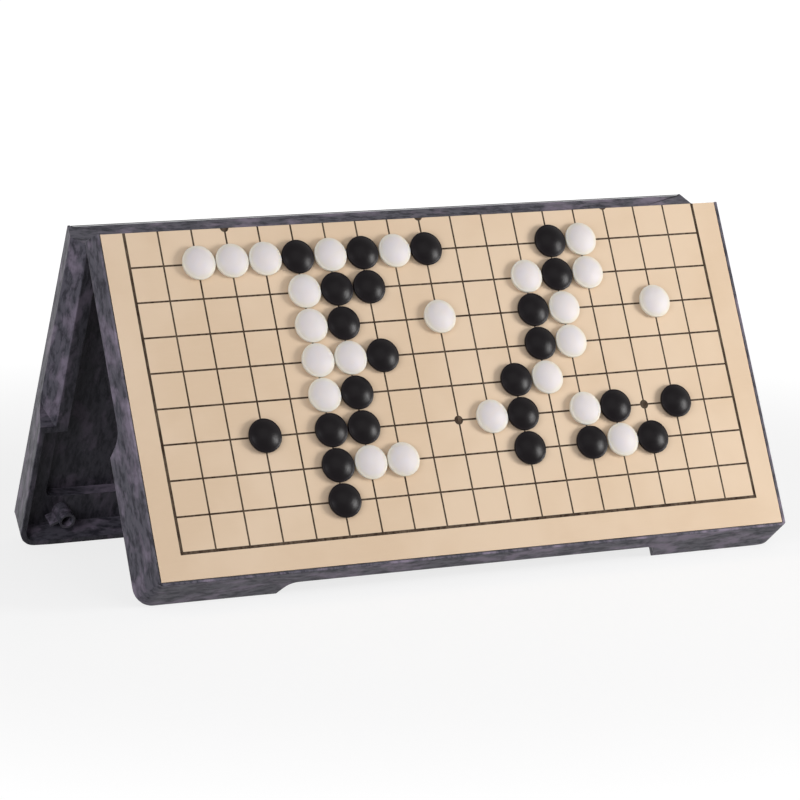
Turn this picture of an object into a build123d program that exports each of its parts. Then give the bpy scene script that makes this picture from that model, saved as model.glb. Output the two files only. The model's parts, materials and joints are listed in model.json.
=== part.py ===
from build123d import *
import math
import os

# Folding board for go, standing open as a tent. Millimetres.
# X runs along the hinge, -Y is the side with the stones, Z is up from the table.

# Grid and playing surface
CELL = 18.2                 # distance between grid lines
LINES = 19                  # lines each way on the opened board
SIDE_MARGIN = 13.3          # last line to the end of the playing surface
OUTER_MARGIN = 14.0         # first line to its long outer edge
SHEET_THICK = 0.6           # steel sheet that holds the magnets
FACE_THICK = 0.8            # printed playing surface on the sheet
SEAT_GAP = 0.25             # round the sheet in its recess

# Tray, the moulded half of the case
DEPTH = 22.5                # playing surface to the rim of the feet
LIP = 1.55                  # edge of the tray round the recess
FLARE = 4.7                 # how far each outer wall leans out over the depth
TOP_RADIUS = 2.6            # plan corners at the playing surface
RIM_RADIUS = 9.5            # plan corners at the rim
WALL = 3.0                  # hinge wall and the walls of the feet
WEB = 2.4                   # floor under the sheet, and the web round its hollow
SHELF_DEPTH = 10.5          # playing surface to the shelf round the storage space
SHELF_SIDE = 15.7           # rim to the edge of that shelf at the two ends
SHELF_OUTER = 22.3          # the same along the outer wall
STORE_RADIUS = 4.0          # corners of the storage space
SHEET_LEDGE = 1.5           # what is left to hold the edge of the sheet over a hollow
LEAST_RADIUS = 0.8          # smallest round corner inside a wall
PAST = 1.0                  # how far a cut runs on past the face that it opens

# Feet and the hollowed walls between them
FOOT_LENGTH_OUTER = 70.0    # along the outer wall, from the corner of the rim
FOOT_LENGTH_SIDE = 75.5     # along an end wall
FOOT_END_WALL = 3.5         # rim of a foot's end to the pocket inside the foot
ARCH_DEPTH = 10.8           # playing surface to the edge over the hollowed wall
ARCH_RUN = 14.0             # length over which a foot sweeps up to that edge
ARCH_STEEP = 3.5            # how far the sweep has come on at half its height
ARCH_EASE = 6.0             # where it starts to ease into the edge
SCOOP = 7.1                 # how far the hollowed wall leans in below the edge

# Hinge
PIN_RADIUS = 0.75
PIN_RUNNING = 0.05          # pin in the knuckles that turn on it
KNUCKLE_RADIUS = 1.7
KNUCKLE_WIDTH = 10.0
KNUCKLE_GAP = 0.4           # between neighbours along the pin
KNUCKLES = 4                # at one hinge, half of them on each tray
KNUCKLE_RELIEF = 0.35       # round a knuckle in the wall of the other tray
TAB_HEIGHT = 3.4            # web that ties a knuckle to its own wall
HINGE_CENTRE = 122.0        # middle of a hinge from the middle of the board
HALF_GAP = 0.4              # hinge wall to the plane between the halves
CLOSED_GAP = 0.3            # between the two rims when the case is shut

# Studs and sockets that hold the case shut
POST_SIDE = 25.6            # centre from the rim at the end
POST_OUTER = 13.7           # centre from the rim along the outer wall
POST_RADIUS = 4.4
POST_SHORT = 0.6            # how far a post stops below the rim
SOCKET_RADIUS = 3.1
STUD_CLEARANCE = 0.25
STUD_REACH = 6.0            # stud above the rim
STUD_TAPER = 1.2
RIB_THICK = 1.8
RIB_REACH = 9.0             # post's centre to the end of the rib that stiffens it
RIB_SHORT = 3.5             # how far the rib stops below the rim

# Stones
STONE_GAP = 0.5             # between stones on neighbouring points
STONE_UNDERCUT = 0.75       # how far the base stands in from the widest line
STONE_EDGE = 1.3            # height of the widest line
STONE_HEIGHT = 5.3
STONE_SIDES = 12
DOME_RING = 0.66            # ring half way up the dome, as a share of the radius
CROWN = 0.2                 # flat at its top, likewise
MAGNET_RADIUS = 3.0
MAGNET_SIDES = 6
MAGNET_THICK = 1.5
MAGNET_PRESS = 0.02         # stone's pocket round its magnet

# The grid is printed a little askew on its sheet, and the stones stand on the grid
PRINT_TURN = 0.29           # degrees, about the middle of the half
PRINT_SHIFT_X = -0.37
PRINT_SHIFT_Y = 0.18        # towards the hinge

TENT_ANGLE = 50.6           # between the two halves as the board stands

# Stones as column and row; row 0 is the line nearest the table
WHITE_STONES = {
    8: (2, 3, 4, 6, 8, 14),
    7: (5, 12, 14),
    6: (5, 9, 13, 16),
    5: (5, 6, 13),
    4: (5, 12),
    3: (10, 13),
    2: (6, 7, 14),
}
BLACK_STONES = {
    8: (5, 7, 9, 13),
    7: (6, 7, 13),
    6: (6, 12),
    5: (7, 12),
    4: (6, 11),
    3: (3, 5, 6, 11, 14, 16),
    2: (5, 11, 13, 15),
    1: (5,),
}

# Sizes that follow. A half is drawn opened flat: the hinge axis is the X axis,
# the half reaches towards -Y and its playing surface is up.
FACE_Z = DEPTH - KNUCKLE_RADIUS                     # playing surface over the hinge axis
SEAT_Z = FACE_Z - SHEET_THICK - FACE_THICK
RIM_Z = -KNUCKLE_RADIUS
ROWS_HALF = (LINES - 1) / 2
FACE_HALF_WIDTH = CELL * ROWS_HALF + SIDE_MARGIN
FACE_REACH = CELL * ROWS_HALF + OUTER_MARGIN        # hinge plane to its outer edge
TOP_HALF_WIDTH = FACE_HALF_WIDTH + SEAT_GAP + LIP
TOP_REACH = FACE_REACH + SEAT_GAP + LIP
RIM_HALF_WIDTH = TOP_HALF_WIDTH + FLARE
RIM_REACH = TOP_REACH + FLARE
RIM_TILT = math.atan2(KNUCKLE_RADIUS + CLOSED_GAP / 2, RIM_REACH)
STORE_HALF_WIDTH = RIM_HALF_WIDTH - SHELF_SIDE
STORE_REACH = RIM_REACH - SHELF_OUTER
SHELF_Z = FACE_Z - SHELF_DEPTH
STONE_RADIUS = (CELL - STONE_GAP) / 2
HALF_TURN = 90.0 - TENT_ANGLE / 2                   # each half from flat to the tent
HINGE_HEIGHT = (
    RIM_REACH * math.sin(math.radians(HALF_TURN))
    - RIM_Z * math.cos(math.radians(HALF_TURN))
)


def rim_height(reach):
    """Height of the rim at a distance from the hinge: the rims of both halves meet
    in a plane through the hinge axis when the case shuts."""
    return CLOSED_GAP / 2 - reach * math.tan(RIM_TILT)


def outline(z, inset=0.0, hinge_inset=0.0):
    """Plan of the tray at one height: square at the hinge, round at the far corners."""
    down = (FACE_Z - z) / DEPTH
    half = TOP_HALF_WIDTH + FLARE * down - inset
    reach = TOP_REACH + FLARE * down - inset
    radius = max(TOP_RADIUS + (RIM_RADIUS - TOP_RADIUS) * down - inset, LEAST_RADIUS)
    back = -HALF_GAP - hinge_inset
    quarter = radius * (1 - math.sqrt(0.5))
    with BuildSketch(Plane.XY.offset(z)) as plan:
        with BuildLine():
            Line((-half, back), (half, back))
            Line((half, back), (half, radius - reach))
            ThreePointArc(
                (half, radius - reach),
                (half - quarter, quarter - reach),
                (half - radius, -reach),
            )
            Line((half - radius, -reach), (radius - half, -reach))
            ThreePointArc(
                (radius - half, -reach),
                (quarter - half, quarter - reach),
                (-half, radius - reach),
            )
            Line((-half, radius - reach), (-half, back))
        make_face()
    return plan.sketch


def flared(top, bottom, inset=0.0, hinge_inset=0.0):
    """Solid between two heights with the lean of the outer walls."""
    return loft([outline(bottom, inset, hinge_inset), outline(top, inset, hinge_inset)])


def block(x0, x1, y0, y1, z0, z1):
    """Plain box between limits, for cutting and joining."""
    return Pos((x0 + x1) / 2, (y0 + y1) / 2, (z0 + z1) / 2) * Box(x1 - x0, y1 - y0, z1 - z0)


def below_rim():
    """Everything past the plane in which the rims meet."""
    far = 2 * RIM_HALF_WIDTH
    slab = Pos(0, 0, CLOSED_GAP / 2) * Rot(X=math.degrees(RIM_TILT)) * Pos(0, 0, -far / 2)
    return slab * Box(2 * far, 2 * far, far)


def rounded_prism(half, back, reach, radius, top, bottom):
    """Upright rectangular prism with round corners, for the storage space."""
    plan = Pos(0, -(back + reach) / 2) * RectangleRounded(2 * half, reach - back, radius)
    return Pos(0, 0, bottom) * extrude(plan, top - bottom)


def storage_space():
    """The deep middle of the tray, and the pockets that reach out over the feet."""
    low = RIM_Z - PAST
    middle = rounded_prism(
        STORE_HALF_WIDTH, HALF_GAP + WALL, STORE_REACH, STORE_RADIUS, SEAT_Z - WEB, low
    )
    inner = flared(SHELF_Z, low, WALL, WALL)
    from_corner_x = RIM_HALF_WIDTH - FOOT_LENGTH_OUTER + FOOT_END_WALL
    from_corner_y = RIM_REACH - FOOT_LENGTH_SIDE + FOOT_END_WALL
    far_x = RIM_HALF_WIDTH + PAST
    far_y = RIM_REACH + PAST
    pockets = []
    for side in (-1, 1):
        along_outer = sorted((side * from_corner_x, side * far_x))
        along_end = sorted((side * (STORE_HALF_WIDTH - STORE_RADIUS), side * far_x))
        outer = block(*along_outer, -far_y, STORE_RADIUS - STORE_REACH, low, SHELF_Z)
        end = block(*along_end, -far_y, -from_corner_y, low, SHELF_Z)
        pockets.append(inner & (outer + end))
    return [middle] + pockets


def sheet_hollow():
    """Hollow ring under the edge of the sheet that keeps the shelf one wall thick."""
    bottom = SHELF_Z + WEB
    ledge = SEAT_GAP + LIP + SHEET_LEDGE
    outer = rounded_prism(
        TOP_HALF_WIDTH - ledge,
        HALF_GAP + WALL,
        TOP_REACH - ledge,
        STORE_RADIUS,
        SEAT_Z,
        bottom,
    )
    island = rounded_prism(
        STORE_HALF_WIDTH + WEB,
        0,
        STORE_REACH + WEB,
        STORE_RADIUS + WEB,
        SEAT_Z,
        bottom,
    )
    return outer - island


def sweep_up(foot_end, rim, edge):
    """Profile of a foot's end: steep at the rim, then easing into the edge."""
    return Bezier(
        (foot_end, rim),
        (foot_end + ARCH_STEEP, (rim + edge) / 2),
        (foot_end + ARCH_EASE, edge),
        (foot_end + ARCH_RUN, edge),
    )


def scoop_section():
    """Section across a hollowed wall, outwards along +X from the edge it starts at."""
    edge = FACE_Z - ARCH_DEPTH
    deep = edge - RIM_Z + WALL
    lean = SCOOP / (DEPTH - ARCH_DEPTH) * deep
    far = FLARE + WALL
    return Polygon((0, edge), (-lean, edge - deep), (far, edge - deep), (far, edge), align=None)


def outer_scoop():
    """What is cut away between the feet along the outer wall."""
    edge = FACE_Z - ARCH_DEPTH
    end = RIM_HALF_WIDTH - FOOT_LENGTH_OUTER
    rim = rim_height(RIM_REACH)
    deep = rim - WALL
    with BuildSketch(Plane.XZ) as face:
        with BuildLine():
            left = sweep_up(-end, rim, edge)
            right = mirror(left, about=Plane.YZ)
            Line(left @ 1, right @ 1)
            Polyline(left @ 0, (-end, deep), (end, deep), right @ 0)
        make_face()
    width = FLARE + 2 * SCOOP
    slab = Pos(0, width - RIM_REACH - PAST, 0) * extrude(face.sketch, width)
    edge_reach = TOP_REACH + FLARE * ARCH_DEPTH / DEPTH
    across = Plane((end, -edge_reach, 0), x_dir=(0, -1, 0), z_dir=(-1, 0, 0))
    return slab & extrude(across * scoop_section(), 2 * end)


def end_scoop(side):
    """What is cut away from an end wall, from the foot to the hinge."""
    edge = FACE_Z - ARCH_DEPTH
    end = -(RIM_REACH - FOOT_LENGTH_SIDE)
    rim = rim_height(-end)
    deep = rim - WALL
    with BuildSketch(Plane.YZ) as face:
        with BuildLine():
            foot = sweep_up(end, rim, edge)
            Polyline(foot @ 1, (PAST, edge), (PAST, deep), (end, deep), foot @ 0)
        make_face()
    width = FLARE + 2 * SCOOP
    start = RIM_HALF_WIDTH + PAST - width
    slab = extrude(face.sketch, width)
    slab = Pos(start if side > 0 else -start - width, 0, 0) * slab
    edge_half = TOP_HALF_WIDTH + FLARE * ARCH_DEPTH / DEPTH
    across = Plane((side * edge_half, PAST, 0), x_dir=(side, 0, 0), z_dir=(0, -side, 0))
    return slab & extrude(across * scoop_section(), (PAST - end) * side)


def knuckle_places():
    """Middle of every knuckle from left to right, with the tray that carries it."""
    pitch = KNUCKLE_WIDTH + KNUCKLE_GAP
    first = -(KNUCKLES - 1) / 2 * pitch
    for centre in (-HINGE_CENTRE, HINGE_CENTRE):
        for i in range(KNUCKLES):
            yield centre + first + i * pitch, i % 2 == 0, (centre < 0 and i == 0)


def hinge_knuckles(body):
    """Adds the tray's own knuckles and notches its wall round those of the other tray."""
    along_x = Rot(Y=90)
    for x, own, grips in knuckle_places():
        if own:
            barrel = Pos(x, 0, 0) * along_x * Cylinder(KNUCKLE_RADIUS, KNUCKLE_WIDTH)
            half = KNUCKLE_WIDTH / 2
            tab = block(x - half, x + half, -HALF_GAP - WALL / 2, 0, 0, TAB_HEIGHT)
            body = body + barrel + tab
        else:
            room = KNUCKLE_WIDTH / 2 + KNUCKLE_GAP
            relief = KNUCKLE_RADIUS + KNUCKLE_RELIEF
            body = body - block(x - room, x + room, -relief, PAST, -relief, TAB_HEIGHT + PAST)
    for x, own, grips in knuckle_places():
        if own:
            radius = PIN_RADIUS if grips else PIN_RADIUS + PIN_RUNNING
            body = body - Pos(x, 0, 0) * along_x * Cylinder(radius, KNUCKLE_WIDTH + PAST)
    return body


def corner_posts(body):
    """Posts on the shelf in the feet: a stud on the left, a socket on the right."""
    y = POST_OUTER - RIM_REACH
    rim = rim_height(-y)
    top = rim + POST_SHORT
    root = SHELF_Z + WEB / 2
    rib_low = rim + RIB_SHORT
    for side in (-1, 1):
        x = side * (RIM_HALF_WIDTH - POST_SIDE)
        post = Pos(x, y, (top + root) / 2) * Cylinder(POST_RADIUS, root - top)
        to_corner = math.degrees(math.atan2(-POST_OUTER, side * POST_SIDE))
        rib = Pos(RIB_REACH / 2, 0, (rib_low + root) / 2)
        rib = rib * Box(RIB_REACH, RIB_THICK, root - rib_low)
        body = body + post + Pos(x, y, 0) * Rot(Z=to_corner) * rib
        if side > 0:
            low = top - PAST
            body = body - Pos(x, y, (low + SHELF_Z) / 2) * Cylinder(SOCKET_RADIUS, SHELF_Z - low)
        else:
            body = body + Pos(x, y, top) * stud()
    return body


def stud():
    """Taper-nosed stud that stands out of the rim and enters the other half's socket."""
    length = POST_SHORT + STUD_REACH + PAST
    shape = Pos(0, 0, PAST - length / 2) * Cylinder(SOCKET_RADIUS - STUD_CLEARANCE, length)
    return chamfer(shape.edges().group_by(Axis.Z)[0], STUD_TAPER)


def tray_moulding():
    """One half of the case; both halves come from the same mould."""
    body = flared(FACE_Z, RIM_Z) - below_rim()
    sheet = Pos(0, -(FACE_REACH + SEAT_GAP) / 2, SEAT_Z + DEPTH / 2) * Box(
        2 * (FACE_HALF_WIDTH + SEAT_GAP), FACE_REACH + SEAT_GAP, DEPTH
    )
    body = body - sheet - sheet_hollow()
    for space in storage_space():
        body = body - space
    body = body - outer_scoop() - end_scoop(-1) - end_scoop(1)
    body = corner_posts(body)
    body = hinge_knuckles(body)
    return body


def playing_sheet(thick, base):
    """Flat rectangle of the playing area of one half, from a base height upwards."""
    near = HALF_GAP + SEAT_GAP
    return block(-FACE_HALF_WIDTH, FACE_HALF_WIDTH, -FACE_REACH, -near, base, base + thick)


def faceted(rings, sides):
    """Solid of flat bands through level polygons, given as circumradius and height."""
    middle = math.cos(math.pi / sides)
    solid = None
    for (lower, low), (upper, high) in zip(rings, rings[1:]):
        step = abs(lower - upper) * middle
        lean = math.degrees(math.atan2(step, high - low))
        band = extrude(RegularPolygon(max(lower, upper), sides), high - low, taper=lean)
        if upper > lower:
            band = Pos(0, 0, high) * Rot(X=180) * band
        else:
            band = Pos(0, 0, low) * band
        solid = band if solid is None else solid + band
    return solid


def stone():
    """Single convex stone, flat below, with its magnet pressed into the base. The dome
    is part of a sphere, taken at one ring; its round outline has STONE_SIDES flats."""
    rise = STONE_HEIGHT - STONE_EDGE
    ball = (STONE_RADIUS**2 + rise**2) / (2 * rise)
    ring = STONE_RADIUS * DOME_RING
    rings = [
        (STONE_RADIUS - STONE_UNDERCUT, 0),
        (STONE_RADIUS, STONE_EDGE),
        (ring, STONE_HEIGHT - ball + math.sqrt(ball**2 - ring**2)),
        (STONE_RADIUS * CROWN, STONE_HEIGHT),
    ]
    pocket = extrude(RegularPolygon(MAGNET_RADIUS + MAGNET_PRESS, MAGNET_SIDES), MAGNET_THICK)
    magnet = extrude(RegularPolygon(MAGNET_RADIUS, MAGNET_SIDES), MAGNET_THICK)
    return [faceted(rings, STONE_SIDES) - pocket, magnet]


def on_print(column, row):
    """Place of a grid point on the playing surface, opened flat."""
    middle = FACE_REACH / 2
    point = Pos((column - ROWS_HALF) * CELL, middle - (ROWS_HALF - row) * CELL, FACE_Z)
    return Pos(PRINT_SHIFT_X, PRINT_SHIFT_Y - middle, 0) * Rot(Z=PRINT_TURN) * point


def hinge_pin(centre):
    """Steel pin through the knuckles of one hinge."""
    length = KNUCKLES * (KNUCKLE_WIDTH + KNUCKLE_GAP) - 2 * KNUCKLE_GAP
    return Pos(centre, 0, 0) * Rot(Y=90) * Cylinder(PIN_RADIUS, length)


FLAT_TO_FRONT = Pos(0, 0, HINGE_HEIGHT) * Rot(X=HALF_TURN)
FLAT_TO_REAR = Pos(0, 0, HINGE_HEIGHT) * Rot(X=-HALF_TURN) * Rot(Z=180)


def write(name, *solids):
    """One file for one node."""
    shape = solids[0] if len(solids) == 1 else Compound(children=list(solids))
    export_step(shape, os.path.join("parts", name + ".step"))


os.makedirs("parts", exist_ok=True)

tray = tray_moulding()
steel = playing_sheet(SHEET_THICK, SEAT_Z)
face = playing_sheet(FACE_THICK, SEAT_Z + SHEET_THICK)
for half, place in (("front", FLAT_TO_FRONT), ("rear", FLAT_TO_REAR)):
    write(half + "_tray", place * tray)
    write(half + "_steel_sheet", place * steel)
    write(half + "_playing_surface", place * face)

write("hinge_pin_left", FLAT_TO_FRONT * hinge_pin(-HINGE_CENTRE))
write("hinge_pin_right", FLAT_TO_FRONT * hinge_pin(HINGE_CENTRE))

shell_and_magnet = stone()
for colour, rows in (("white", WHITE_STONES), ("black", BLACK_STONES)):
    places = [(column, row) for row in sorted(rows) for column in rows[row]]
    for number, (column, row) in enumerate(places, start=1):
        spot = FLAT_TO_FRONT * on_print(column, row)
        write(f"{colour}_stone_{number:02d}", *[spot * piece for piece in shell_and_magnet])
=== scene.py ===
import json
import math
import bmesh
import bpy
import numpy as np
from mathutils import Matrix, Vector


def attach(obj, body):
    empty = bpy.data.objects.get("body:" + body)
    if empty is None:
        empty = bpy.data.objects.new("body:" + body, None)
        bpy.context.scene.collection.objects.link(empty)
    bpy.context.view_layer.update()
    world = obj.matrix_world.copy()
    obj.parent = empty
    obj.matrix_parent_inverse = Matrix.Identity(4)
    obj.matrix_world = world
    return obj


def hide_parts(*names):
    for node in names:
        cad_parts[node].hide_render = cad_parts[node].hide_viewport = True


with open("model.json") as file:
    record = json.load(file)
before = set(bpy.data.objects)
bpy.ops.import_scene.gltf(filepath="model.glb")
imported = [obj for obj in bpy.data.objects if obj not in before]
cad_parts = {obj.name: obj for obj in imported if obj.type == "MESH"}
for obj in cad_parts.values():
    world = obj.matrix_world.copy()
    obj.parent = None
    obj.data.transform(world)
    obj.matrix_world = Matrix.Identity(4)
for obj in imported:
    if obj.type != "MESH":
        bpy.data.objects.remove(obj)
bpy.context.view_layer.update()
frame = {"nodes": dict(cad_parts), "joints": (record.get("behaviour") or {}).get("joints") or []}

# The tray: one half of the case. It is a thin-walled moulding in slate-grey plastic with
# darker and lilac streaks in the melt; both halves come from one mould, and the rear one
# is turned round so that its knuckles fall between those of the front one.
hinge = next(joint for joint in frame["joints"] if joint["name"] == "fold_hinge")
lift = next(joint for joint in frame["joints"] if joint["type"] == "slide")
HINGE_HEIGHT = hinge["pos_m"][2]
HALF_TURN = math.atan2(-lift["axis"][1], lift["axis"][2])   # a half from flat to the tent
SAME_CORNER = 2e-6              # corners nearer than this are one
FLAT = math.radians(0.8)        # faces that meet at less than this are one flat face
SHARP = math.radians(28)        # faces that meet at more than this leave an edge to round
EDGE_SOFTNESS = 0.0004          # radius left by the mould's polishing
RIM_SOFTNESS = 0.0009           # the same along the outer edge of the rim
RIM_CORNER = 0.0095             # radius of the rim's corners, seen from above
RIM_FACING = 0.99               # how squarely a face of the rim looks down, as a cosine
ROUND_STEPS = 3                 # strips in a rounded edge
STRIP_SHARE = 0.4               # share of a strip's width that its rounding may take
LENGTH_SHARE = 0.45             # the same of the length of an edge beside it
LEAST_WEIGHT = 0.04             # share of the full rounding below which an edge stays sharp
MOST_CORNERS = 30               # a flat face with more is split, so that rings fill well
FOOT_WALL = 0.160               # farther than this from the hinge lies the outer wall
FOOT_START = 0.0996             # from the middle: here the outer wall starts to sweep down
FOOT_RUN = 0.014                # and this much farther out it has come down to the rim
FOOT_SLACK = 0.02               # share of that run by which a point of the sweep may miss it
FOOT_SHIFT_TOP = 0.0006         # how much longer a foot is made where its sweep starts
FOOT_SHIFT_LOW = 0.006          # and at the rim
FOOT_SHIFT_POWER = 1.6          # of the way down, for the shift in between


def stand_up(points, half="front"):
    """Points of a flat half carried to where it stands in the tent."""
    c, s = math.cos(HALF_TURN), math.sin(HALF_TURN)
    x, y, z = np.asarray(points).T
    side = 1 if half == "front" else -1
    return np.stack([side * x, side * (y * c - z * s), y * s + z * c + HINGE_HEIGHT], 1)


def lay_flat(points):
    """Points of the standing front half laid flat: hinge axis as X, playing surface up."""
    c, s = math.cos(HALF_TURN), math.sin(HALF_TURN)
    x, y, z = (np.asarray(points) - np.array([0, 0, HINGE_HEIGHT])).T
    return np.stack([x, y * c + z * s, z * c - y * s], 1)


def add(tree, kind, values=None, **settings):
    """New node: settings are its own fields, values its sockets, linked where a value is a
    socket."""
    node = tree.nodes.new(kind)
    for field, value in settings.items():
        setattr(node, field, value)
    for socket, value in (values or {}).items():
        if isinstance(value, bpy.types.NodeSocket):
            tree.links.new(value, node.inputs[socket])
        else:
            node.inputs[socket].default_value = value
    return node


def math_node(tree, operation, *values):
    """One sum on numbers or sockets, and its result."""
    return add(tree, "ShaderNodeMath", dict(enumerate(values)), operation=operation).outputs[0]


def blend(tree, share, low, high):
    """Colour between two colours."""
    return add(tree, "ShaderNodeMix", {0: share, 6: low, 7: high}, data_type="RGBA").outputs[2]


def ramp(tree, value, low, high, to_low=0.0, to_high=1.0, smooth=True):
    """A value carried from one range to another, held at the ends."""
    return add(
        tree, "ShaderNodeMapRange",
        {"Value": value, "From Min": low, "From Max": high, "To Min": to_low, "To Max": to_high},
        interpolation_type="SMOOTHSTEP" if smooth else "LINEAR",
    ).outputs["Result"]


def noise(tree, vector, scale, detail=3.0, roughness=0.5, distortion=0.0, output="Fac"):
    """Value, or colour, of a noise field at a place."""
    return add(tree, "ShaderNodeTexNoise", {
        "Vector": vector, "Scale": scale, "Detail": detail,
        "Roughness": roughness, "Distortion": distortion,
    }).outputs[output]


def scaled(tree, vector, factors):
    """A vector or colour multiplied part by part."""
    return add(tree, "ShaderNodeVectorMath", {0: vector, 1: factors}, operation="MULTIPLY").outputs[0]


def new_group(name, inputs, outputs):
    """Node group with the sockets given as name and kind, its input's sockets and its output."""
    group = bpy.data.node_groups.new(name, "ShaderNodeTree")
    for label, kind in inputs:
        group.interface.new_socket(label, in_out="INPUT", socket_type=kind)
    for label, kind in outputs:
        group.interface.new_socket(label, in_out="OUTPUT", socket_type=kind)
    return group, add(group, "NodeGroupInput").outputs, add(group, "NodeGroupOutput")


def new_material(name):
    """Material with one Principled shader, its node tree and the shader."""
    material = bpy.data.materials.new(name)
    material.use_nodes = True
    tree = material.node_tree
    return material, tree, tree.nodes["Principled BSDF"]


def bump(tree, height, strength, distance):
    """Normal from a height field."""
    return add(
        tree, "ShaderNodeBump", {"Height": height, "Strength": strength, "Distance": distance}
    ).outputs["Normal"]


def half_coordinates(tree, half):
    """Object coordinates and the way the surface faces, both turned into those of one half
    lying flat: X along the hinge, Y from its outer edge to the hinge at 0, Z up from the
    hinge axis."""
    place = add(tree, "ShaderNodeTexCoord")
    turn = (-HALF_TURN, 0, 0) if half == "front" else (HALF_TURN, 0, math.pi)
    to_flat = Matrix.Rotation(turn[2], 3, "Z") @ Matrix.Rotation(turn[0], 3, "X")
    offset = to_flat @ Vector((0, 0, -HINGE_HEIGHT))
    flat = add(
        tree, "ShaderNodeMapping",
        {"Vector": place.outputs["Object"], "Location": offset, "Rotation": turn},
    )
    facing = add(
        tree, "ShaderNodeMapping",
        {"Vector": place.outputs["Normal"], "Rotation": turn}, vector_type="NORMAL",
    )
    return flat.outputs[0], facing.outputs[0]


def inside_rim(flat, widest, farthest):
    """How far points lie inside the rim's outline, a rectangle with round far corners: the
    radius less the distance from the corner's centre, where a point lies past it in both
    directions, and otherwise the distance from the nearer side."""
    over = np.stack([np.abs(flat[:, 0]) - widest, -flat[:, 1] - farthest], 1) + RIM_CORNER
    return RIM_CORNER - np.hypot(*np.maximum(over, 0).T) - np.minimum(over.max(1), 0)


def lengthen_feet(flat):
    """Points of a flat half with the sweep at the end of each foot on the outer wall moved
    along the hinge towards the middle, more the further down the sweep they lie."""
    x, reach = np.abs(flat[:, 0]), -flat[:, 1]
    down = (x - FOOT_START) / FOOT_RUN
    on_sweep = (reach > FOOT_WALL) & (down > -FOOT_SLACK) & (down < 1 + FOOT_SLACK)
    way_down = np.clip(down, 0, 1) ** FOOT_SHIFT_POWER
    shift = np.where(on_sweep, FOOT_SHIFT_TOP + (FOOT_SHIFT_LOW - FOOT_SHIFT_TOP) * way_down, 0)
    return flat - np.column_stack([np.sign(flat[:, 0]) * shift, 0 * x, 0 * x])


def softened_tray(half, name):
    """Copy of a tray with its corners joined, its feet lengthened, its flat faces whole and
    its sharp edges rounded, most at the outer edge of the rim, and each by no more than the
    strips beside it leave room for."""
    mesh = frame["nodes"][half + "_tray"].data.copy()
    mesh.name = name
    mesh.materials.clear()
    turned = np.array([1, 1, 1] if half == "front" else [-1, -1, 1])
    down = Vector(turned * [0, math.sin(HALF_TURN), -math.cos(HALF_TURN)])
    solid = bmesh.new()
    solid.from_mesh(mesh)
    bmesh.ops.remove_doubles(solid, verts=solid.verts, dist=SAME_CORNER)
    flat = lay_flat(np.array([v.co for v in solid.verts]) * turned)
    widest, farthest = np.abs(flat[:, 0]).max(), -flat[:, 1].min()
    for vertex, place in zip(solid.verts, stand_up(lengthen_feet(flat)) * turned):
        vertex.co = place
    solid.normal_update()
    bmesh.ops.dissolve_limit(
        solid, angle_limit=FLAT, verts=solid.verts, edges=solid.edges, delimit={"NORMAL"}
    )
    weight = solid.edges.layers.float.new("bevel_weight_edge")
    room = {face: STRIP_SHARE * 2 * face.calc_area() / face.calc_perimeter() for face in solid.faces}
    sharp = [edge for edge in solid.edges if len(edge.link_faces) == 2 and edge.calc_face_angle() > SHARP]
    rim = set()
    for edge in sharp:
        ends = lay_flat(np.array([v.co for v in edge.verts]) * turned)
        flat_below = any(face.normal.dot(down) > RIM_FACING for face in edge.link_faces)
        if flat_below and (inside_rim(ends, widest, farthest) < EDGE_SOFTNESS).all():
            rim.add(edge)
    for edge in sharp:
        limits = [LENGTH_SHARE * e.calc_length() for v in edge.verts for e in v.link_edges]
        limits += [room[face] for face in edge.link_faces]
        share = min(limits + [EDGE_SOFTNESS]) / RIM_SOFTNESS
        edge[weight] = 1 if edge in rim else share if share > LEAST_WEIGHT else 0
    bmesh.ops.triangulate(solid, faces=[face for face in solid.faces if len(face.verts) > MOST_CORNERS])
    for face in solid.faces:
        face.smooth = True
    solid.to_mesh(mesh)
    solid.free()
    mesh.set_sharp_from_angle(angle=SHARP)
    piece = bpy.data.objects.new(name, mesh)
    bpy.context.scene.collection.objects.link(piece)
    rounding = piece.modifiers.new("rounding", "BEVEL")
    rounding.limit_method = "WEIGHT"
    rounding.width = RIM_SOFTNESS
    rounding.segments = ROUND_STEPS
    rounding.use_clamp_overlap = False
    rounding.miter_outer = "MITER_ARC"
    piece.modifiers.new("normals", "WEIGHTED_NORMAL").keep_sharp = True
    return piece


# Streaks of the melt: three noise fields drawn out along the flow, the broad clouds, the
# streaks and the fine ones. The flow runs along the hinge on the walls that face across
# it, and from the hinge to the outer edge everywhere else.
FLOW_BENDS = 38.0               # scale of the noise that bends the flow
FLOW_WANDER = 0.006             # how far it is bent aside
FLOW_TURN = (0.45, 0.65)        # part of the facing that is across the hinge, where the flow turns
STREAK_FIELDS = (               # name, scale, detail, and share of the scale along the flow
    ("Streaks", 420.0, 6.0, 0.34),
    ("Clouds", 110.0, 4.0, 0.5),
    ("Fine", 1400.0, 3.0, 0.22),
)
streaks, streaks_in, streaks_out = new_group(
    "melt_streaks",
    [("Place", "NodeSocketVector"), ("Facing", "NodeSocketVector")],
    [(field[0], "NodeSocketFloat") for field in STREAK_FIELDS],
)
facing_parts = add(streaks, "ShaderNodeSeparateXYZ", {0: streaks_in["Facing"]}).outputs
sideways = ramp(streaks, math_node(streaks, "ABSOLUTE", facing_parts["Y"]), *FLOW_TURN)
wander = noise(streaks, streaks_in["Place"], FLOW_BENDS, detail=2.0, output="Color")
bent = add(
    streaks, "ShaderNodeVectorMath",
    {0: streaks_in["Place"], 1: scaled(streaks, wander, (FLOW_WANDER, FLOW_WANDER, FLOW_WANDER))},
    operation="ADD",
).outputs[0]
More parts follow.
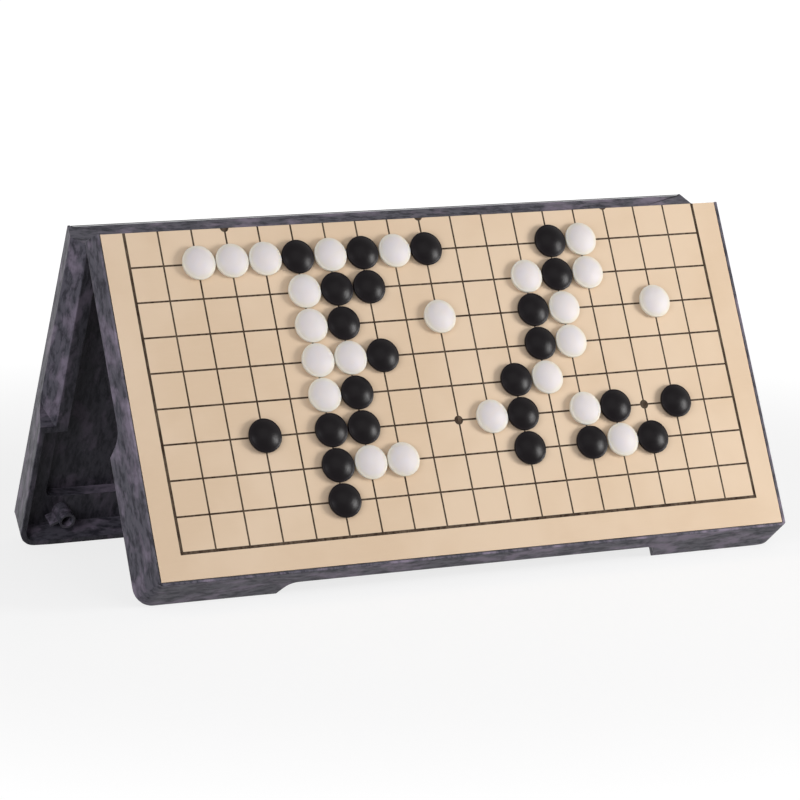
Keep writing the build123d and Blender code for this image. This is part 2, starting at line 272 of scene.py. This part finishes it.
for label, scale, detail, along in STREAK_FIELDS:
    across = noise(streaks, scaled(streaks, bent, (1.0, along, 1.0)), scale, detail, roughness=0.6)
    lengthwise = noise(streaks, scaled(streaks, bent, (along, 1.0, 1.0)), scale, detail, roughness=0.6)
    mixed = add(streaks, "ShaderNodeMix", {0: sideways, 2: across, 3: lengthwise}, data_type="FLOAT")
    streaks.links.new(mixed.outputs[0], streaks_out.inputs[label])

# Wear along edges: how far the surface turns within a short reach, broken up by noise.
WEAR_TURN = (0.02, 0.22)        # turn from no wear to full wear, as 1 less its cosine
WEAR_PATCHES = (0.4, 0.68)      # range of the noise over which the patches of wear begin
edge_wear, wear_in, wear_out = new_group(
    "edge_wear",
    [("Place", "NodeSocketVector"), ("Reach", "NodeSocketFloat")],
    [("Wear", "NodeSocketFloat")],
)
rounded = add(edge_wear, "ShaderNodeBevel", {"Radius": wear_in["Reach"]}, samples=6).outputs[0]
true_normal = add(edge_wear, "ShaderNodeNewGeometry").outputs["Normal"]
alike = add(
    edge_wear, "ShaderNodeVectorMath", {0: rounded, 1: true_normal}, operation="DOT_PRODUCT"
).outputs["Value"]
turned = ramp(edge_wear, math_node(edge_wear, "SUBTRACT", 1.0, alike), *WEAR_TURN)
patches = noise(edge_wear, wear_in["Place"], scale=260.0, detail=4.0, roughness=0.65)
patchy = ramp(edge_wear, patches, *WEAR_PATCHES)
edge_wear.links.new(math_node(edge_wear, "MULTIPLY", turned, patchy), wear_out.inputs["Wear"])

SLATE = (0.103, 0.098, 0.12, 1)
SLATE_DARK = (0.034, 0.033, 0.043, 1)
SLATE_LILAC = (0.22, 0.185, 0.24, 1)
SLATE_WORN = (0.21, 0.205, 0.225, 1)
STREAKS_DARK = (0.36, 0.6)      # range of the streaks from the dark to the slate
CLOUDS_LILAC = (0.47, 0.68)     # range of the clouds from that to the lilac
FINE_LILAC = (0.56, 0.78)       # range of the fine streaks from none to the most lilac
FINE_SHARE = 0.4                # and how much that is
FINE_RELIEF = 0.4               # depth of the fine streaks against that of the others
NOISE_MIDDLE = (0.3, 0.7)       # range that holds nearly all of a noise
WORN_REACH = 0.0007             # from an edge, how far it is worn
WORN_SHARE = 0.3                # how much of the pale worn colour shows
WORN_GLOSS = 0.12               # how much smoother a worn edge is
UNDERSIDE = (-0.9, -0.5)        # upward part of the facing, from the underside to the walls
UNDERSIDE_PAINTED_SHADE = 0.48          # brightness of the painted shade on the underside, against the walls
SLATE_ROUGHNESS = (0.52, 0.4)   # from the dark streaks to the others
SLATE_GLOSS = 0.13              # specular level


def tray_plastic(half):
    """Slate plastic of one half, with its streaks laid along each wall."""
    material, tree, shader = new_material("tray_plastic_" + half)
    place, facing = half_coordinates(tree, half)
    melt = add(tree, "ShaderNodeGroup", node_tree=streaks)
    tree.links.new(place, melt.inputs["Place"])
    tree.links.new(facing, melt.inputs["Facing"])
    dark = blend(tree, ramp(tree, melt.outputs["Streaks"], *STREAKS_DARK), SLATE_DARK, SLATE)
    light = blend(tree, ramp(tree, melt.outputs["Clouds"], *CLOUDS_LILAC), dark, SLATE_LILAC)
    fine_lilac = ramp(tree, melt.outputs["Fine"], *FINE_LILAC, to_high=FINE_SHARE)
    fine = blend(tree, fine_lilac, light, SLATE_LILAC)
    wear = add(tree, "ShaderNodeGroup", node_tree=edge_wear)
    tree.links.new(place, wear.inputs["Place"])
    wear.inputs["Reach"].default_value = WORN_REACH
    worn = blend(tree, math_node(tree, "MULTIPLY", wear.outputs["Wear"], WORN_SHARE), fine, SLATE_WORN)
    # Painted shade: faces that look away from the playing side, the storage side and the rim, are
    # darkened in colour, most where they look straight down.
    up = add(tree, "ShaderNodeSeparateXYZ", {0: facing}).outputs["Z"]
    painted_shade = ramp(tree, up, *UNDERSIDE, to_low=UNDERSIDE_PAINTED_SHADE)
    tree.links.new(scaled(tree, worn, painted_shade), shader.inputs["Base Color"])
    gloss = ramp(tree, melt.outputs["Streaks"], *NOISE_MIDDLE, *SLATE_ROUGHNESS)
    smoothed = math_node(tree, "MULTIPLY", wear.outputs["Wear"], WORN_GLOSS)
    tree.links.new(math_node(tree, "SUBTRACT", gloss, smoothed), shader.inputs["Roughness"])
    fine_relief = math_node(tree, "MULTIPLY", melt.outputs["Fine"], FINE_RELIEF)
    grain = math_node(tree, "ADD", melt.outputs["Streaks"], fine_relief)
    tree.links.new(bump(tree, grain, strength=0.35, distance=0.00018), shader.inputs["Normal"])
    shader.inputs["Specular IOR Level"].default_value = SLATE_GLOSS
    return material


for half in ("front", "rear"):
    tray = softened_tray(half, half + "_case_moulding")
    tray.data.materials.append(tray_plastic(half))
    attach(tray, half + "_half")
    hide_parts(half + "_tray")

# The steel sheet: thin plate laid in the recess of the tray, under the printed surface,
# to hold the stones' magnets. All that can show of it is its edge, down in the narrow gap
# round the two sheets, where the mill's lines run along the board.
STEEL = (0.55, 0.56, 0.57, 1)
STEEL_DULL = (0.36, 0.36, 0.37, 1)
STEEL_ROUGHNESS = (0.24, 0.42)
DULL_PATCHES = (0.45, 0.7)      # range of the noise over which bare metal turns dull
SHEET_LINES = 2600.0            # scale of the lines that rolling left in the sheet
DRAWN_OUT = (0.02, 1.0, 1.0)    # those lines run along X


def rolled_steel(name, lines):
    """Bare steel with fine lines drawn out along X and a little dulling."""
    material, tree, shader = new_material(name)
    place = add(tree, "ShaderNodeTexCoord").outputs["Object"]
    drawn = noise(tree, scaled(tree, place, DRAWN_OUT), lines, detail=4.0)
    dulled = noise(tree, place, scale=60.0, detail=4.0, roughness=0.6)
    tone = blend(tree, ramp(tree, dulled, *DULL_PATCHES), STEEL, STEEL_DULL)
    tree.links.new(tone, shader.inputs["Base Color"])
    tree.links.new(ramp(tree, drawn, *NOISE_MIDDLE, *STEEL_ROUGHNESS), shader.inputs["Roughness"])
    tree.links.new(bump(tree, drawn, strength=0.2, distance=0.00005), shader.inputs["Normal"])
    shader.inputs["Metallic"].default_value = 1.0
    return material


sheet_steel = rolled_steel("sheet_steel", SHEET_LINES)
for half in ("front", "rear"):
    sheet = frame["nodes"][half + "_steel_sheet"]
    sheet.data.materials.clear()
    sheet.data.materials.append(sheet_steel)

# The playing surface: a thin plastic sheet printed in warm beige with dark brown lines,
# semi-matt, and matt where the ink is. The print of each half runs on to the fold, where
# the middle line of the board would lie; that line isn't printed.
CELL = 0.0182                   # between lines
OUTER_LINE = 9.0                # lines out from the middle one
LINE = 0.00048                  # half the width of a line
BORDER = 0.0008                 # half the width of the outer line
STAR = 0.0024                   # radius of a star point
STAR_PITCH = 6.0                # lines from one star point to the next
FIRST_ROW = 0.5                 # no row is printed nearer to the fold than this
PRINT_TURN = math.radians(0.29)     # the print lies askew on the front sheet, about its
PRINT_SHIFT = (-0.00037, 0.00018)   # middle, and a little off its place
SHEET_SOFTNESS = 0.00018        # radius of the sheet's cut edges
SHEET_STEPS = 5                 # rings in that radius
SHEET_SHARP = math.radians(40)  # its sides meet at more than this
INK_SOFTNESS = 0.00007          # over which the edge of the ink fades
INK_DEPTH = 0.0002              # below the face where the print ends
BEIGE = (0.652, 0.495, 0.345, 1)
BEIGE_LIGHT = (0.69, 0.536, 0.386, 1)
INK = (0.02, 0.009, 0.004, 1)
# painted shade: the sheet's cut edges are coloured dark for the shadow in the gap round it
CUT_EDGE_PAINTED_SHADE = (0.03, 0.028, 0.034, 1)
FACE_CLOUDS = (0.35, 0.65)      # range of the clouds from the beige to the light one
FIBRES = (0.45, 0.8)            # range of the fibres from none to the most
FIBRES_DRAWN = (0.12, 1.0, 1.0) # they lie along X
FIBRE_SHARE = 0.25              # how much of the light beige they bring
RUB_DRAWN = (1.0, 0.3, 1.0)     # rub marks run across the lines of the fibres
INK_RUBBED = (0.3, 0.75)        # range of the rub marks over which the ink thins
LEAST_INK = 0.86                # cover of the ink where it is rubbed most
FACE_UP = (0.3, 0.8)            # upward part of the facing, from a cut edge to the face
FACE_ROUGHNESS = (0.42, 0.33)   # from the least rubbed to the most
INK_MATT = 0.45                 # how much rougher the ink is
INK_RELIEF = 0.5                # how far it stands up, against the grain of the sheet
FACE_GLOSS = 0.18               # specular level

sheet_corners = lay_flat([v.co for v in frame["nodes"]["front_playing_surface"].data.vertices])
sheet_low, sheet_high = sheet_corners.min(0), sheet_corners.max(0)
sheet_reach = -sheet_low[1]

printed, print_in, print_out = new_group(
    "printed_grid", [("Place", "NodeSocketVector")], [("Ink", "NodeSocketFloat")]
)
parts = add(printed, "ShaderNodeSeparateXYZ", {0: print_in["Place"]}).outputs
column = math_node(printed, "DIVIDE", parts["X"], CELL)
row = math_node(printed, "DIVIDE", parts["Y"], -CELL)
column_out = math_node(printed, "ABSOLUTE", column)


def ink(distance, half_width):
    """1 within half the width of a line, 0 outside, from a distance in lines."""
    metres = math_node(printed, "MULTIPLY", distance, CELL)
    return ramp(printed, metres, half_width - INK_SOFTNESS, half_width + INK_SOFTNESS, 1.0, 0.0)


def from_nearest(value, pitch):
    """Distance from the nearest whole multiple of a pitch."""
    whole = math_node(printed, "ROUND", math_node(printed, "DIVIDE", value, pitch))
    nearest = math_node(printed, "MULTIPLY", whole, pitch)
    return math_node(printed, "ABSOLUTE", math_node(printed, "SUBTRACT", value, nearest))


edge_column = math_node(printed, "ABSOLUTE", math_node(printed, "SUBTRACT", column_out, OUTER_LINE))
edge_row = math_node(printed, "ABSOLUTE", math_node(printed, "SUBTRACT", row, OUTER_LINE))
off_fold = math_node(printed, "GREATER_THAN", row, FIRST_ROW)
across = math_node(printed, "MULTIPLY", ink(from_nearest(row, 1.0), LINE), off_fold)
thin = math_node(printed, "MAXIMUM", ink(from_nearest(column, 1.0), LINE), across)
thick = math_node(printed, "MAXIMUM", ink(edge_column, BORDER), ink(edge_row, BORDER))
lines = math_node(printed, "MAXIMUM", thin, thick)
reach = OUTER_LINE + BORDER / CELL
for value in (column_out, row):
    lines = math_node(printed, "MULTIPLY", lines, math_node(printed, "LESS_THAN", value, reach))
star_distance = math_node(
    printed, "SQRT",
    math_node(printed, "ADD",
              math_node(printed, "POWER", from_nearest(column, STAR_PITCH), 2.0),
              math_node(printed, "POWER", from_nearest(row, STAR_PITCH), 2.0)),
)
marks = math_node(printed, "MAXIMUM", lines, ink(star_distance, STAR))
on_face = math_node(printed, "GREATER_THAN", parts["Z"], sheet_high[2] - INK_DEPTH)
printed.links.new(math_node(printed, "MULTIPLY", marks, on_face), print_out.inputs["Ink"])


def printed_face(half):
    """Beige sheet of one half with its lines, star points, faint fibres, rub marks and painted shade on
    its cut edges.
    """
    material, tree, shader = new_material("printed_face_" + half)
    place, facing = half_coordinates(tree, half)
    turn = PRINT_TURN if half == "front" else 0.0
    middle = Vector((0, -sheet_reach / 2, 0))
    shift = Vector((*PRINT_SHIFT, 0)) if half == "front" else Vector((0, 0, 0))
    unturn = Matrix.Rotation(-turn, 3, "Z")
    on_print = add(
        tree, "ShaderNodeMapping",
        {"Vector": place, "Rotation": (0, 0, -turn), "Location": middle - unturn @ (middle + shift)},
    ).outputs[0]
    grid = add(tree, "ShaderNodeGroup", node_tree=printed)
    tree.links.new(on_print, grid.inputs["Place"])
    fibres = noise(tree, scaled(tree, place, FIBRES_DRAWN), scale=900.0, detail=4.0, roughness=0.6)
    clouds = noise(tree, place, scale=22.0)
    tone = blend(tree, ramp(tree, clouds, *FACE_CLOUDS), BEIGE, BEIGE_LIGHT)
    tone = blend(tree, ramp(tree, fibres, *FIBRES, to_high=FIBRE_SHARE), tone, BEIGE_LIGHT)
    rub = noise(tree, scaled(tree, place, RUB_DRAWN), scale=420.0, detail=5.0, roughness=0.7)
    kept_ink = ramp(tree, rub, *INK_RUBBED, 1.0, LEAST_INK)
    cover = math_node(tree, "MULTIPLY", grid.outputs["Ink"], kept_ink)
    up = add(tree, "ShaderNodeSeparateXYZ", {0: facing}).outputs["Z"]
    # Painted shade: the cut edges of the sheet are coloured dark, for the shadow in the narrow gap round
    # it.
    tone = blend(tree, ramp(tree, up, *FACE_UP), CUT_EDGE_PAINTED_SHADE, tone)
    tree.links.new(blend(tree, cover, tone, INK), shader.inputs["Base Color"])
    sheen = ramp(tree, rub, *NOISE_MIDDLE, *FACE_ROUGHNESS)
    matt = math_node(tree, "MULTIPLY", grid.outputs["Ink"], INK_MATT)
    tree.links.new(math_node(tree, "ADD", sheen, matt), shader.inputs["Roughness"])
    grain = noise(tree, place, scale=2600.0, detail=2.0)
    raised = math_node(tree, "MULTIPLY", grid.outputs["Ink"], INK_RELIEF)
    relief = math_node(tree, "ADD", grain, raised)
    tree.links.new(bump(tree, relief, strength=0.12, distance=0.00006), shader.inputs["Normal"])
    shader.inputs["Specular IOR Level"].default_value = FACE_GLOSS
    return material


def sheet_surface(low, high, softness):
    """Closed sheet: rectangles carried up its side and over a quarter round of the given
    radius, joined ring to ring, with a flat face on the top and the bottom."""
    turn = np.linspace(0, math.pi / 2, SHEET_STEPS)
    inset = np.concatenate([[softness, 0], softness * (1 - np.cos(turn))])
    level = np.concatenate([[low[2], low[2] + softness], high[2] - softness * (1 - np.sin(turn))])
    corners = np.array([[0, 0], [1, 0], [1, 1], [0, 1]])
    points = []
    for step, z in zip(inset, level):
        ring = np.where(corners, high[:2] - step, low[:2] + step)
        points.append(np.column_stack([ring, np.full(4, z)]))
    number = np.arange(4 * len(level)).reshape(-1, 4)
    after = np.roll(number, -1, 1)
    sides = np.stack([number[:-1], after[:-1], after[1:], number[1:]], 2).reshape(-1, 4)
    return np.concatenate(points), [number[0][::-1].tolist()] + sides.tolist() + [number[-1].tolist()]


def new_piece(name, points, faces, smooth=True):
    """Object of a mesh from its points and faces, linked to the scene."""
    mesh = bpy.data.meshes.new(name)
    mesh.from_pydata(np.asarray(points).tolist(), [], faces)
    mesh.polygons.foreach_set("use_smooth", np.full(len(faces), smooth))
    piece = bpy.data.objects.new(name, mesh)
    bpy.context.scene.collection.objects.link(piece)
    return piece


for half in ("front", "rear"):
    face_points, face_faces = sheet_surface(sheet_low, sheet_high, SHEET_SOFTNESS)
    face = new_piece(half + "_printed_face", stand_up(face_points, half), face_faces)
    face.data.set_sharp_from_angle(angle=SHEET_SHARP)
    face.modifiers.new("normals", "WEIGHTED_NORMAL").keep_sharp = True
    face.data.materials.append(printed_face(half))
    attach(face, half + "_half")
    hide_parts(half + "_playing_surface")

# The hinge pins: drawn steel wire through the knuckles of the two mouldings, gripped by
# one knuckle each.
PIN_LINES = 4200.0              # scale of the lines that drawing left in the wire
pin_steel = rolled_steel("pin_steel", PIN_LINES)
for side in ("left", "right"):
    pin = frame["nodes"]["hinge_pin_" + side]
    pin.data.materials.clear()
    pin.data.materials.append(pin_steel)

# The stones: domed on one side and flat on the other, moulded round in white or black
# plastic, each with a nickel-plated magnet pressed into its base. They stand on the
# crossings of the front half, held through the print by the steel.
STONE_RADIUS = 0.00885
STONE_HEIGHT = 0.0053
STONE_EDGE = 0.0024             # height of the widest line
STONE_BASE = 0.0078             # radius of the flat base
SHOULDER = 0.93                 # share of the radius where the dome turns into the edge
EDGE_FULLNESS = 1.15            # power of the cosine in the edge, 1 for a true ellipse
BASE_RING = 0.6                 # share of the base's radius where its flat face is divided
MAGNET_RADIUS = 0.003
MAGNET_SUNK = 0.00015
SOCKET_DEPTH = MAGNET_SUNK * 2          # how far in the magnet's rim meets the plastic
SOCKET_RADIUS = MAGNET_RADIUS + 0.0001
SOCKET_MOUTH = MAGNET_RADIUS + 0.00025
DOME_STEPS, EDGE_STEPS, UNDER_STEPS = 18, 9, 7      # points down the profile
SPOKES = 64                     # and round the stone
STONE_SHARP = math.radians(50)  # only the magnet's socket has edges over this
WHITE_MIDDLE = (0.69, 0.648, 0.648, 1)
# painted light: the white stones' cream rim stands for light glowing through the thin edge
WHITE_RIM_PAINTED_GLOW = (0.7, 0.66, 0.57, 1)
BLACK_MIDDLE = (0.0024, 0.001, 0.0018, 1)
BLACK_RIM = (0.0045, 0.0024, 0.0036, 1)
RIM_COLOUR = (0.66, 1.0)        # share of the radius over which the rim's colour comes in
STONE_FLOW = (0.5, 0.8)         # range of the noise over which it shows in the melt too
STONE_RUBBED = (0.35, 0.7)      # range of the noise from the smooth to the rubbed
RUBBED_MORE = 0.09              # and how much rougher that is
NICKEL = (0.62, 0.6, 0.56, 1)
NICKEL_DULL = (0.42, 0.4, 0.37, 1)
NICKEL_ROUGHNESS = (0.2, 0.4)


def stone_profile():
    """Radius and height from the top to the base: part of a circle for the dome, near
    enough an ellipse quarter from the shoulder out to the widest line, an ellipse quarter
    back in to the base, the flat base, and the mouth of the magnet's socket."""
    rise = STONE_HEIGHT - STONE_EDGE
    ball = (STONE_RADIUS**2 + rise**2) / (2 * rise)
    shoulder = SHOULDER * STONE_RADIUS
    angle = np.linspace(0, np.arcsin(shoulder / ball), DOME_STEPS)
    dome = np.stack([ball * np.sin(angle), STONE_HEIGHT - ball + ball * np.cos(angle)], 1)
    sweep = np.linspace(0, math.pi / 2, EDGE_STEPS)[1:]
    drop = dome[-1, 1] - STONE_EDGE
    edge = np.stack([
        shoulder + (STONE_RADIUS - shoulder) * np.sin(sweep),
        STONE_EDGE + drop * np.cos(sweep) ** EDGE_FULLNESS,
    ], 1)
    sweep = np.linspace(0, math.pi / 2, UNDER_STEPS)[1:]
    under = np.stack([
        STONE_BASE + (STONE_RADIUS - STONE_BASE) * np.cos(sweep),
        STONE_EDGE * (1 - np.sin(sweep)),
    ], 1)
    base = np.array([[BASE_RING * STONE_BASE, 0], [SOCKET_MOUTH, 0], [SOCKET_RADIUS, SOCKET_DEPTH]])
    return np.concatenate([dome, edge, under, base])


def magnet_profile():
    """Radius and height of the magnet's face, from its centre to its rounded rim."""
    return np.array([
        [0, MAGNET_SUNK],
        [0.85 * MAGNET_RADIUS, MAGNET_SUNK],
        [0.95 * MAGNET_RADIUS, MAGNET_SUNK * 1.1],
        [MAGNET_RADIUS, MAGNET_SUNK * 1.6],
        [SOCKET_RADIUS, SOCKET_DEPTH],
    ])


def turned_surface(profile, first):
    """Surface of revolution, as points and faces: each profile point carried round the
    axis in equal steps. The profile's first point lies on the axis and is a single vertex,
    and first is the number of that vertex."""
    turn = np.arange(SPOKES) * (2 * math.pi / SPOKES)
    ring = profile[1:]
    x = ring[:, :1] * np.cos(turn)
    y = ring[:, :1] * np.sin(turn)
    z = np.repeat(ring[:, 1:], SPOKES, 1)
    points = np.concatenate([[[0, 0, profile[0, 1]]], np.stack([x, y, z], 2).reshape(-1, 3)])
    number = first + 1 + np.arange(len(ring) * SPOKES).reshape(len(ring), SPOKES)
    after = np.roll(number, -1, 1)
    quads = np.stack([number[:-1], number[1:], after[1:], after[:-1]], 2).reshape(-1, 4)
    fan = np.stack([np.full(SPOKES, first), number[0], after[0]], 1)
    return points, fan.tolist() + quads.tolist()


shell_points, shell_faces = turned_surface(stone_profile(), 0)
disc_points, disc_faces = turned_surface(magnet_profile(), len(shell_points))
disc_faces = [face[::-1] for face in disc_faces]
stone_points = np.concatenate([shell_points, disc_points])
stone_faces = shell_faces + disc_faces


def stone_plastic(name, middle, rim, roughness, speckle):
    """Moulded plastic of the stones, its colour changing from the middle of the dome to the
    thin edge, with a faint flow in the melt. On the white stones the cream edge is painted
    light, for the glow through the thin plastic."""
    material, tree, shader = new_material(name)
    place = add(tree, "ShaderNodeTexCoord").outputs["Object"]
    out = add(tree, "ShaderNodeAttribute", attribute_name="out_from_middle").outputs["Fac"]
    body = blend(tree, ramp(tree, out, *RIM_COLOUR), middle, rim)
    melt = noise(tree, place, scale=140.0, detail=4.0, roughness=0.6, distortion=0.6)
    body = blend(tree, ramp(tree, melt, *STONE_FLOW, to_high=speckle), body, rim)
    tree.links.new(body, shader.inputs["Base Color"])
    rubbed = noise(tree, place, scale=700.0, detail=4.0, roughness=0.65)
    worn = ramp(tree, rubbed, *STONE_RUBBED, roughness, roughness + RUBBED_MORE)
    tree.links.new(worn, shader.inputs["Roughness"])
    grain = noise(tree, place, scale=900.0)
    tree.links.new(bump(tree, grain, strength=0.08, distance=0.00006), shader.inputs["Normal"])
    return material, shader


white_plastic, white_shader = stone_plastic(
    "white_stone_plastic", WHITE_MIDDLE, WHITE_RIM_PAINTED_GLOW, roughness=0.46, speckle=0.1
)
white_shader.inputs["Subsurface Weight"].default_value = 0.6
white_shader.inputs["Specular IOR Level"].default_value = 0.3
white_shader.inputs["Subsurface Radius"].default_value = (1.0, 0.85, 0.6)
white_shader.inputs["Subsurface Scale"].default_value = 0.005
black_plastic, black_shader = stone_plastic(
    "black_stone_plastic", BLACK_MIDDLE, BLACK_RIM, roughness=0.28, speckle=0.5
)
black_shader.inputs["Specular IOR Level"].default_value = 0.13
nickel, nickel_tree, nickel_shader = new_material("magnet_nickel")
nickel_place = add(nickel_tree, "ShaderNodeTexCoord").outputs["Object"]
nickel_marks = noise(nickel_tree, nickel_place, scale=1300.0, detail=4.0, roughness=0.7)
nickel_tone = blend(nickel_tree, ramp(nickel_tree, nickel_marks, *DULL_PATCHES), NICKEL, NICKEL_DULL)
nickel_tree.links.new(nickel_tone, nickel_shader.inputs["Base Color"])
nickel_roughness = ramp(nickel_tree, nickel_marks, *NOISE_MIDDLE, *NICKEL_ROUGHNESS)
nickel_tree.links.new(nickel_roughness, nickel_shader.inputs["Roughness"])
nickel_relief = bump(nickel_tree, nickel_marks, strength=0.15, distance=0.00004)
nickel_tree.links.new(nickel_relief, nickel_shader.inputs["Normal"])
nickel_shader.inputs["Metallic"].default_value = 1.0

reach_out = np.hypot(stone_points[:, 0], stone_points[:, 1]) / STONE_RADIUS
for node in sorted(frame["nodes"]):
    if "_stone_" not in node:
        continue
    cad = lay_flat([v.co for v in frame["nodes"][node].data.vertices])
    middle = (cad.min(0) + cad.max(0)) / 2
    seat = np.array([middle[0], middle[1], cad[:, 2].min()])
    stone = new_piece(node + "_turned", stand_up(stone_points + seat), stone_faces)
    mesh = stone.data
    out_from_middle = mesh.attributes.new("out_from_middle", "FLOAT", "POINT")
    out_from_middle.data.foreach_set("value", reach_out.astype(np.float32))
    index = np.zeros(len(stone_faces), np.int32)
    index[len(shell_faces):] = 1
    mesh.polygons.foreach_set("material_index", index)
    colour = node.split("_")[0]
    mesh.materials.append(white_plastic if colour == "white" else black_plastic)
    mesh.materials.append(nickel)
    mesh.set_sharp_from_angle(angle=STONE_SHARP)
    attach(stone, node)
    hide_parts(node)

# The table and the light: a plain white surface that runs on to the horizon, a soft lamp
# low on the right that gives the stones their highlight, a weak wide one in front, and a
# large one on the left for the end walls.
FLOOR = 30.0
TABLE_GREY = (0.5, 0.5, 0.5, 1)         # as it throws light back on the board
TABLE_SHADOW = (0.26, 0.26, 0.26, 1)    # the part of it, when looked at, that takes a shadow
TABLE_WHITE = (0.78, 1.0)       # and the white added to that, near the board and far off
NEAR_TABLE = 0.3                # out to here the table keeps its full shadow
FAR_TABLE = 0.9                 # and from here on it is plain white
ROOM_LIGHT = 0.22               # of the white surroundings on the board; looked at, they are 1
floor = new_piece(
    "table_top",
    [(-FLOOR, -FLOOR, 0), (FLOOR, -FLOOR, 0), (FLOOR, FLOOR, 0), (-FLOOR, FLOOR, 0)],
    [(0, 1, 2, 3)], smooth=False,
)


def looked_at(tree):
    """1 for a ray that shows its surface in the picture: straight from the camera, off a
    gloss or through something clear."""
    path = add(tree, "ShaderNodeLightPath").outputs
    seen = math_node(tree, "MAXIMUM", path["Is Camera Ray"], path["Is Glossy Ray"])
    return math_node(tree, "MAXIMUM", seen, path["Is Transmission Ray"])


floor_material, floor_tree, floor_shader = new_material("table_pale")
floor_shader.inputs["Base Color"].default_value = TABLE_GREY
floor_shader.inputs["Roughness"].default_value = 0.9
floor_shader.inputs["Specular IOR Level"].default_value = 0.1
seen = looked_at(floor_tree)
floor_place = add(floor_tree, "ShaderNodeTexCoord").outputs["Object"]
out = add(floor_tree, "ShaderNodeVectorMath", {0: floor_place}, operation="LENGTH").outputs["Value"]
white = ramp(floor_tree, out, NEAR_TABLE, FAR_TABLE, *TABLE_WHITE)
glow = add(floor_tree, "ShaderNodeEmission", {"Color": (1, 1, 1, 1), "Strength": white})
lit = add(floor_tree, "ShaderNodeBsdfDiffuse", {"Color": TABLE_SHADOW})
both = add(floor_tree, "ShaderNodeAddShader", {0: lit.outputs[0], 1: glow.outputs[0]})
choice = add(floor_tree, "ShaderNodeMixShader", {0: seen, 1: floor_shader.outputs[0], 2: both.outputs[0]})
floor_tree.links.new(choice.outputs[0], floor_tree.nodes["Material Output"].inputs["Surface"])
floor.data.materials.append(floor_material)

world = bpy.data.worlds.new("studio")
bpy.context.scene.world = world
world.use_nodes = True
sky = world.node_tree
background = sky.nodes["Background"].inputs
background["Color"].default_value = (1, 1, 1, 1)
room = ramp(sky, looked_at(sky), 0.0, 1.0, ROOM_LIGHT, 1.0, smooth=False)
sky.links.new(room, background["Strength"])


def soft_lamp(name, place, aim, size, power, colour=(1, 1, 1)):
    """Square lamp of a size in metres, facing a point."""
    data = bpy.data.lights.new(name, "AREA")
    data.size = size
    data.energy = power
    data.color = colour
    lamp = bpy.data.objects.new(name, data)
    lamp.location = place
    lamp.rotation_euler = (Vector(aim) - Vector(place)).to_track_quat("-Z", "Y").to_euler()
    bpy.context.scene.collection.objects.link(lamp)


soft_lamp(
    "key_right", place=(1.08, -0.8, 0.28), aim=(0.05, -0.05, 0.09),
    size=0.5, power=14.5, colour=(1.0, 0.985, 0.975),
)
soft_lamp("front_wide", place=(0.1, -1.0, 0.9), aim=(0, -0.05, 0.08), size=0.9, power=2.0)
soft_lamp(
    "fill_left", place=(-1.4, -1.1, 0.4), aim=(0, 0, 0.08),
    size=1.0, power=15.5, colour=(0.95, 0.95, 1.0),
)

# The camera: a long lens that looks at the object from a little above it and from its
# left, where the photograph was taken from.
CAMERA_PLACE = Vector((-0.89035, -1.73525, 0.41498))
CAMERA_RIGHT = Vector((0.89055, -0.45478, 0.01028))
CAMERA_FORWARD = Vector((0.44971, 0.87676, -0.17044)).normalized()
CAMERA_LENS = 170.54            # in millimetres, as the width of the film is
CAMERA_FILM = 36.0
CAMERA_SIGHT = 100.0            # how far it sees, past the edge of the table
camera_data = bpy.data.cameras.new("camera")
camera_data.lens = CAMERA_LENS
camera_data.sensor_width = CAMERA_FILM
camera_data.clip_end = CAMERA_SIGHT
camera = bpy.data.objects.new("camera", camera_data)
up = CAMERA_RIGHT.cross(CAMERA_FORWARD).normalized()
right = CAMERA_FORWARD.cross(up).normalized()
camera_turn = Matrix((right, up, -CAMERA_FORWARD)).transposed().to_4x4()
camera.matrix_world = Matrix.Translation(CAMERA_PLACE) @ camera_turn
bpy.context.scene.collection.objects.link(camera)
bpy.context.scene.camera = camera
bpy.context.scene.view_settings.view_transform = "Standard"
